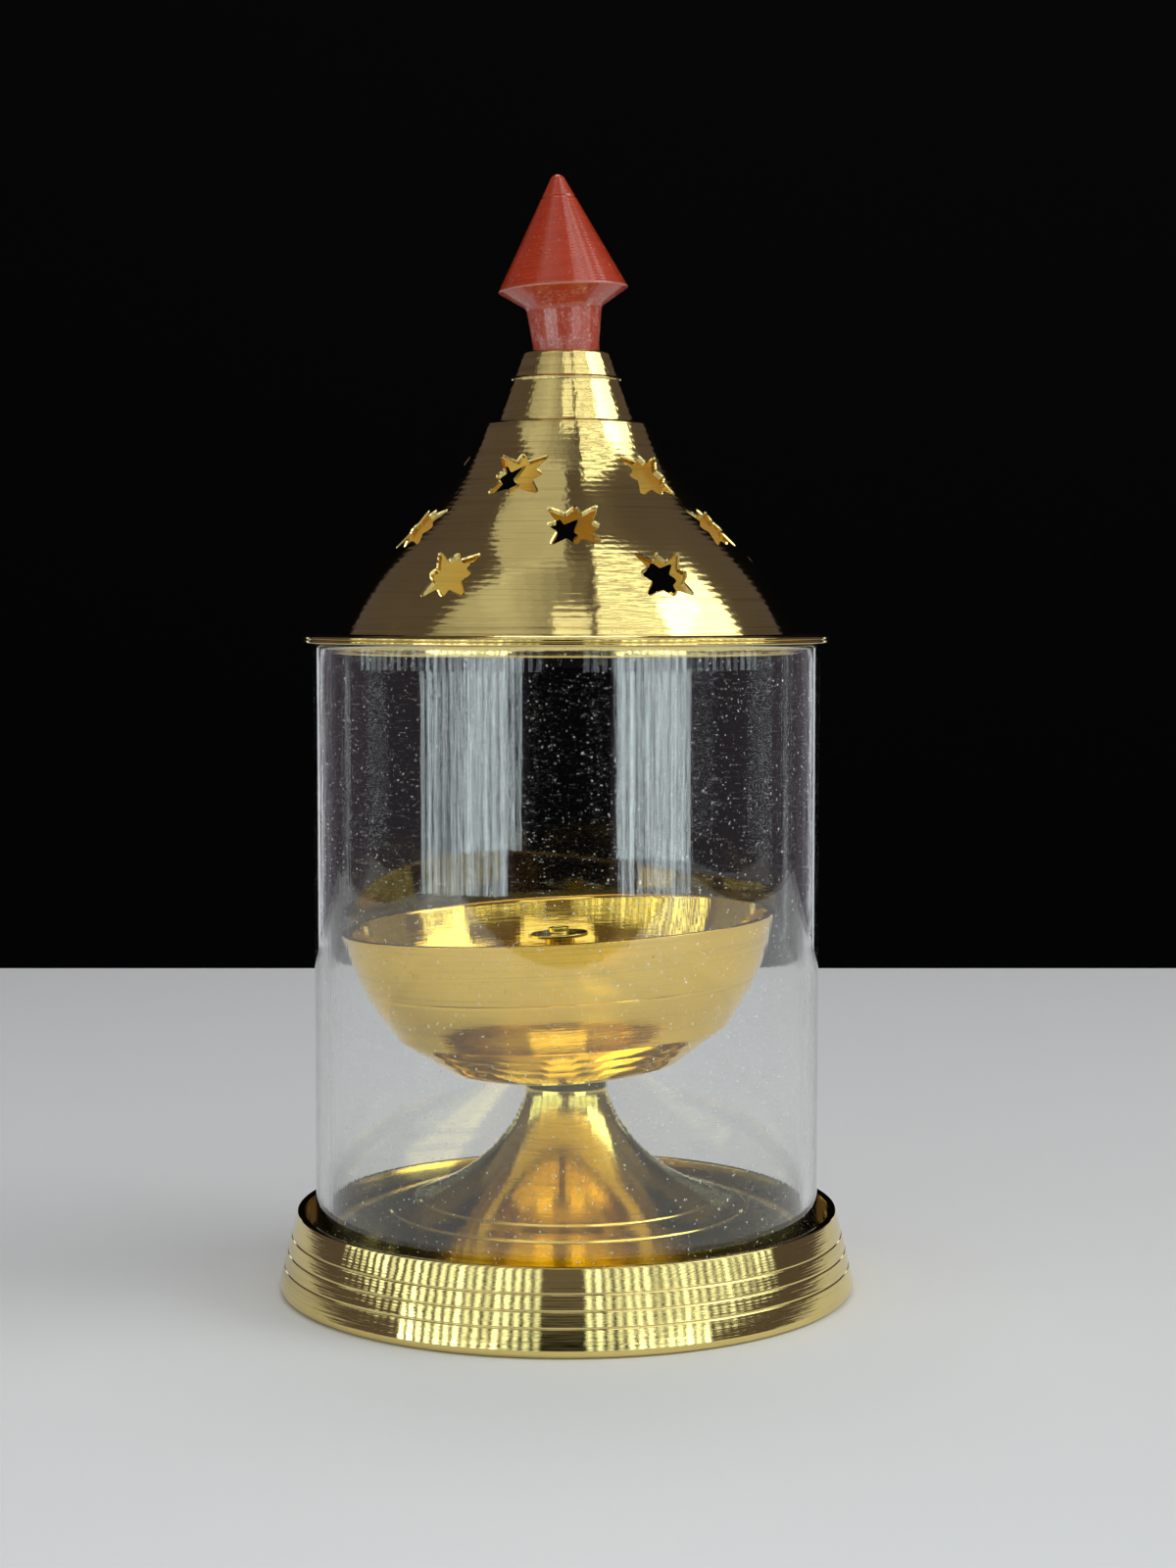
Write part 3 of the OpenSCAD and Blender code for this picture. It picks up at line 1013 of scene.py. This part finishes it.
OUTSIDE, INSIDE = 1, 2
weld = 2e-6
bm = bmesh.new()
mark = bm.verts.layers.int.new("side")
inner_first, inner_last = 1.6, dome_long - 0.2
line_r = lid_neck_r + (lid_top_r - lid_neck_r) * (neck_line - ledge_z) / (lid_top - ledge_z)
crown = outline(
    dome_at(inner_first, lid_wall)[0],
    (lid_neck_r - lid_wall, ledge_z - lid_wall, 0.4),
    (lid_top_r - lid_wall, lid_top - lid_top_t, 0.5),
    (lid_bore_r, lid_top - lid_top_t, 0.1),
    (lid_bore_r, lid_top, 0.1),
    (lid_top_r, lid_top, 0.6),
    (line_r - 0.15, neck_line + 0.3, 0.1),
    (line_r + 0.3, neck_line + 0.05, 0.2),
    (line_r + 0.15, neck_line - 0.3, 0.1),
    (lid_neck_r, ledge_z + 0.3, 0.25),
    (dome_ledge[0] - 0.5, ledge_z + 0.12, 0.12),
    dome_at(0.0, 0.0)[0],
)
hem = (glass_top + brim_top) / 2
skirt_of_lid = outline(
    dome_at(dome_long, 0.0)[0],
    (dome_foot[0] + 0.25, brim_top + 0.12, 0.15),
    (dome_foot[0] + 0.6, brim_top, 0.2),
    (brim_r, brim_top, 0.28),
    (brim_r, hem + hem_line, 0.06),
    (brim_r - hem_deep, hem, 0.06),
    (brim_r, hem - hem_line, 0.06),
    (brim_r, glass_top, 0.2),
    (spigot_r, glass_top, 0.2),
    (spigot_r, spigot_z, 0.3),
    (spigot_r - lid_wall, spigot_z, 0.3),
    (spigot_r - lid_wall, glass_top + 0.2, 0.5),
    dome_at(inner_last, lid_wall)[0],
)
revolve(bm, filled(crown), AROUND, False, SEAM)
revolve(bm, filled(skirt_of_lid), AROUND, False, SEAM)
outer_rims = pierced(bm, OUTSIDE, 0.0, dome_long, 0.0, star_bevel, mark)
inner_rims = pierced(bm, INSIDE, inner_first, inner_last, lid_wall, 0.0, mark)
for number, (outer, inner) in enumerate(zip(outer_rims, inner_rims)):
    lip_points = star_points(number, star_loop(0.0, number))
    lip = [bm.verts.new(on_dome(a, s, star_bevel)) for a, s in lip_points]
    bridge(bm, outer, lip)
    bridge(bm, lip, inner)
bmesh.ops.remove_doubles(bm, verts=bm.verts, dist=weld)
lid = piece("lid_look", bm, "lid", spun_brass, sharp=28)


def length_at(z, depth):
    """Length down the dome of a point at the height z, by halving."""
    low, high = 0.0, dome_long
    for _ in range(24):
        mid = (low + high) / 2
        if dome_at(mid, depth)[0][1] > z:
            low = mid
        else:
            high = mid
    return low


def true_normals(mesh):
    """Gives the dome's faces the normals of the turned form, free of the mesh's own unevenness."""
    sides = [d.value for d in mesh.attributes["side"].data]
    turned_out = {}
    for v in mesh.vertices:
        side = sides[v.index]
        if side:
            r = hypot(v.co.x, v.co.y)
            depth, sign = (0.0, 1) if side == OUTSIDE else (lid_wall, -1)
            _, out = dome_at(length_at(v.co.z / MM, depth), depth)
            turned_out[v.index] = Vector((out[0] * v.co.x / r, out[0] * v.co.y / r, out[1])) * sign
    normals = []
    for polygon in mesh.polygons:
        whole = len({sides[i] for i in polygon.vertices}) == 1 and sides[polygon.vertices[0]]
        for i in polygon.vertices:
            normals.append(turned_out[i] if whole else Vector((0, 0, 0)))
    mesh.normals_split_custom_set(normals)


def unpolished_inside(mesh):
    """Gives the faces that look inwards the plain finish that the spinning leaves."""
    mesh.materials.append(raw_brass)
    for polygon in mesh.polygons:
        middle, normal = polygon.center, polygon.normal
        r = hypot(middle.x, middle.y)
        inwards = (middle.x * normal.x + middle.y * normal.y) / r < -0.05
        if inwards or (normal.z < -0.5 and r < lid_top_r * MM):
            polygon.material_index = 1


true_normals(lid.data)
unpolished_inside(lid.data)


# Knob: waisted stem under a pointed cone

tip_z = knob_h - tip_r
tip_steps = 8
touch = atan2(cone_edge[1] - tip_z, knob_r) + acos(tip_r / hypot(knob_r, cone_edge[1] - tip_z))
tip_turns = [touch + (pi / 2 - touch) * i / tip_steps for i in range(tip_steps)]
tip = [(tip_r * cos(turn), tip_z + tip_r * sin(turn)) for turn in tip_turns]
cone = moved(
    even([cone_edge, tip[0]], 0.12, (0.4, 0.1)),
    lambda p: -feed(p[1], 0.5, 0.008) - groove(p[1] - (knob_h - cone_line_down), 0.2, 0.1),
)
screw_hole = screw_top - lid_top + 0.5
knob_profile = outline(
    (0.0, screw_hole),
    (knob_hole_r, screw_hole),
    (knob_hole_r, 0.0),
    (stem_r, 0.0),
    (stem_r, 0.6, 0.3),
    (*stem_waist, 1.0),
    (stem_top_r, stem_h, 0.6),
    (*cone_edge, 0.35),
    cone,
    tip,
    (0.0, knob_h),
)
knob_place = leaning(lid_top, knob_lean)
turned("knob", knob_profile, "lid", knob_finish, 160, False, knob_place, knob_lean)


# Fixings: stud, washer and nut under the bowl, screw and washer under the knob

ROD = 48
stud_pitch, screw_pitch = 1.0, 0.7


def capped(bm, rim, r, z):
    """Closes a rod at the height z, with a bevel from its last ring to the radius r."""
    edge, middle = ring(bm, r, z, ROD), ring(bm, 0.0, z, ROD)
    bridge(bm, rim, edge)
    bridge(bm, edge, middle)


bm = bmesh.new()
rings = threaded(bm, stud_low + 0.5, stud_high - 0.3, stud_r - 0.55, stud_r, stud_pitch, ROD)
capped(bm, rings[0], stud_r - 0.9, stud_low)
capped(bm, rings[-1], stud_r - 0.8, stud_high)
piece("bowl_stud_look", bm, "base", drawn_brass, sharp=40)


def washer(name, inner, outer, low, high, body, finish):
    """A punched washer, rounder at the outer edge of its upper face."""
    middle = (low + high) / 2
    profile = outline(
        (inner, middle),
        (inner, high, 0.12),
        (outer, high, 0.28),
        (outer, low, 0.12),
        (inner, low, 0.12),
        (inner, middle - 0.05),
    )
    turned(name, profile, body, finish, 96)


washer("bowl_washer", bore_r, washer_r, washer_low, washer_top, "base", drawn_brass)
washer(
    "knob_washer", lid_bore_r, knob_washer_r, knob_washer_low, knob_washer_top, "lid", plated_steel
)

nut_around = 96


def nut_level(bm, z, limit):
    """A ring of the nut's hexagon, turned down to a limit as a share of its half width."""
    verts = []
    for k in range(nut_around):
        from_flat = (360.0 * k / nut_around) % 60 - 30
        r = min(nut_half / cos(radians(from_flat)), nut_half * limit)
        verts.append(bm.verts.new(polar(r, tau * k / nut_around, z)))
    return verts


bevel = ((0.0, 0.98), (0.25, 1.065), (0.5, 1.16))
bm = bmesh.new()
levels = [nut_level(bm, nut_low + up, limit) for up, limit in bevel]
levels += [nut_level(bm, nut_top - down, limit) for down, limit in reversed(bevel)]
for a, b in zip(levels, levels[1:]):
    bridge(bm, a, b)
nut_root, nut_crest = stud_r + thread_play, stud_r - 0.4
rings = threaded(bm, nut_low + 0.3, nut_top - 0.3, nut_root, nut_crest, stud_pitch, nut_around)
mouths = [ring(bm, stud_r + 0.3, z, nut_around) for z in (nut_low, nut_top)]
bridge(bm, levels[0], mouths[0])
bridge(bm, mouths[0], rings[0])
bridge(bm, rings[-1], mouths[1])
bridge(bm, mouths[1], levels[-1])
piece("bowl_nut_look", bm, "base", drawn_brass, sharp=25)

screw_root, screw_crest, screw_shank = 1.6, 2.0, 1.75
under_head = knob_washer_low
bm = bmesh.new()
rings = threaded(bm, under_head + 0.1, screw_top - 0.6, screw_root, screw_crest, screw_pitch, ROD)
capped(bm, rings[-1], 1.2, screw_top)
head = outline(
    (0.0, head_low),
    (head_r - 0.9, head_low, 0.3),
    (head_r - 0.25, head_low + 0.35, 0.3),
    (head_r, head_low + 0.95, 0.3),
    (head_r, under_head, 0.12),
    (screw_shank, under_head),
)
levels = revolve(bm, filled(head), ROD, False)
bridge(bm, levels[-1], rings[0])
screw = piece("knob_screw_look", bm, "lid", plated_steel, sharp=40)


def cross_slot(bm):
    """A plus-shaped prism through the face of the screw's head."""
    long, wide, deep = 2.66 * MM, 0.44 * MM, 1.3 * MM
    corner = ((long, wide), (wide, wide), (wide, long))
    plan = []
    for quarter in range(4):
        for x, y in corner:
            for _ in range(quarter):
                x, y = -y, x
            plan.append((x, y))
    ends = [[bm.verts.new((x, y, head_low * MM + z)) for x, y in plan] for z in (-deep, deep)]
    bridge(bm, *ends)
    for end in ends:
        bm.faces.new(end)
    bmesh.ops.recalc_face_normals(bm, faces=bm.faces)


cut_by(screw, cross_slot)


# Studio: pale table, dark wall behind it, dark cloth in front, slatted windows at both sides, lights above

def sheet(name, corners, finish):
    mesh = bpy.data.meshes.new(name)
    mesh.from_pydata(corners, [], [(0, 1, 2, 3)])
    mesh.materials.append(finish)
    obj = bpy.data.objects.new(name, mesh)
    bpy.context.collection.objects.link(obj)


def upright(name, left, right, y, low, high, finish):
    sheet(name, [(left, y, low), (right, y, low), (right, y, high), (left, y, high)], finish)


def lying(name, left, right, front, back, finish):
    sheet(name, [(left, front, 0), (right, front, 0), (right, back, 0), (left, back, 0)], finish)


table_finish = plain("pale_table", (0.84, 0.84, 0.85, 1), rough=0.6, grain=3.0)
lying("table", left=-0.62, right=0.62, front=-0.46, back=0.381, finish=table_finish)
cloth_finish = plain("black_cloth", (0.004, 0.004, 0.005, 1), rough=1.0, grain=2.0)
upright("dark_cloth", left=-0.42, right=0.36, y=-1.0, low=-0.6, high=0.22, finish=cloth_finish)
wall_finish = plain("dark_wall", (0.0008, 0.0008, 0.001, 1), rough=1.0, grain=2.0)
upright("wall", left=-0.55, right=0.55, y=0.7, low=-0.6, high=0.9, finish=wall_finish)

cool, warm, bluish, white = (0.87, 1.0, 1.02), (0.96, 1.0, 0.97), (0.93, 0.96, 1.0), (1.0, 0.99, 0.99)


def lamp(name, place, aim, width, height, radiance, tint=warm, turn=0.0):
    """A soft rectangle of light of a given brightness."""
    data = bpy.data.lights.new(name, "AREA")
    data.shape = "RECTANGLE"
    data.size = width
    data.size_y = height
    data.energy = radiance * pi * width * height
    data.color = tint
    obj = bpy.data.objects.new(name, data)
    bpy.context.collection.objects.link(obj)
    obj.location = place
    obj.rotation_euler = (Vector(aim) - Vector(place)).to_track_quat("-Z", "Y").to_euler()
    obj.rotation_euler.rotate_axis("Z", turn)
    obj.visible_camera = False
    return obj


def facing(name, place, width, height, radiance, tint=warm):
    """A light that looks level at the oil lamp's axis."""
    return lamp(name, place, (0, 0, place[2]), width, height, radiance, tint)


def hanging(name, place, width, height, radiance, tint=warm, turn=0.0):
    """A light that looks straight down."""
    return lamp(name, place, (place[0], place[1], 0), width, height, radiance, tint, turn)


window_distance = 0.66
slat_gap = 0.54


def window(name, first, last, slats, sill, top, radiance):
    """A window behind an uneven blind of upright slats, between two angles round the oil lamp."""
    pitch = radians(last - first) / slats
    width = 2 * window_distance * tan(slat_gap / 2 * pitch)
    for i in range(slats):
        turn = radians(first) + pitch * (i + 0.5)
        place = (window_distance * sin(turn), -window_distance * cos(turn), (sill + top) / 2)
        shade = 0.85 + 0.4 * sin(2.4 * i) * sin(1.1 * i + 0.5)
        facing(f"{name}_{i + 1}", place, width, top - sill, radiance * shade, cool)


window_sill, window_rail, window_head = 0.0, 0.085, 0.36
window("window_right", 23, 56, 9, window_sill, window_rail, radiance=4.6)
window("window_right_top", 7, 92, 22, window_rail, window_head, radiance=1.9)
window("window_left", -66, -25, 11, window_sill, window_rail, radiance=4.6)
window("window_left_top", -102, -9, 24, window_rail, window_head, radiance=2.0)
facing("front_window", (-0.01, -0.66, 0.27), width=0.18, height=0.34, radiance=0.05)
lamp("front_panel", (0.06, -0.9, 1.04), (0, 0, 0.14), width=0.36, height=0.24, radiance=1.0)
facing("edge_left", (-0.36, 0.58, -0.08), width=0.05, height=0.44, radiance=1.2, tint=bluish)
facing("edge_right", (0.36, 0.58, -0.08), width=0.05, height=0.44, radiance=1.2, tint=bluish)
facing("side_window", (0.92, -0.12, 0.83), width=0.75, height=0.74, radiance=2.5)
hanging("ceiling", (-0.25, -0.05, 1.15), width=0.5, height=0.6, radiance=0.4)
for i in range(6):
    along = 0.14 + 0.172 * i
    place = (0.70 + 0.2 * along, -along, 1.1)
    hanging(f"skylight_{i + 1}", place, width=1.1, height=0.095, radiance=2.0, turn=0.1)
for i in range(6):
    place = (-0.6 - 0.1 * i, -0.75, 1.1 + 0.01 * i)
    hanging(f"side_light_{i + 1}", place, width=0.3 + 0.45 * i, height=0.9, radiance=0.08)
overhead = hanging("overhead", (0.0, -0.35, 1.3), width=1.0, height=0.9, radiance=0.44)
table_light = hanging("table_light", (0.0, -0.34, 0.28), width=0.3, height=0.14, radiance=1.5)
for unseen in (overhead, table_light):
    unseen.visible_glossy = False
hanging("back_light", (0.0, 0.46, 1.1), width=0.5, height=0.5, radiance=2.9, tint=white)

world = bpy.data.worlds.new("room")
world.use_nodes = True
sky = world.node_tree.nodes["Background"]
sky.inputs["Color"].default_value = (0.088, 0.072, 0.084, 1)
sky.inputs["Strength"].default_value = 1.0
bpy.context.scene.world = world

camera_tip = 3.76
camera = bpy.data.cameras.new("camera")
camera.lens = 63
camera.sensor_width = 36
camera.clip_start = 0.02
camera.clip_end = 20
eye = bpy.data.objects.new("camera", camera)
eye.location = (0.0034, -0.435, 0.1089)
eye.rotation_euler = (radians(90 - camera_tip), 0, 0)
bpy.context.collection.objects.link(eye)
bpy.context.scene.camera = eye
bpy.context.scene.view_settings.view_transform = "Standard"
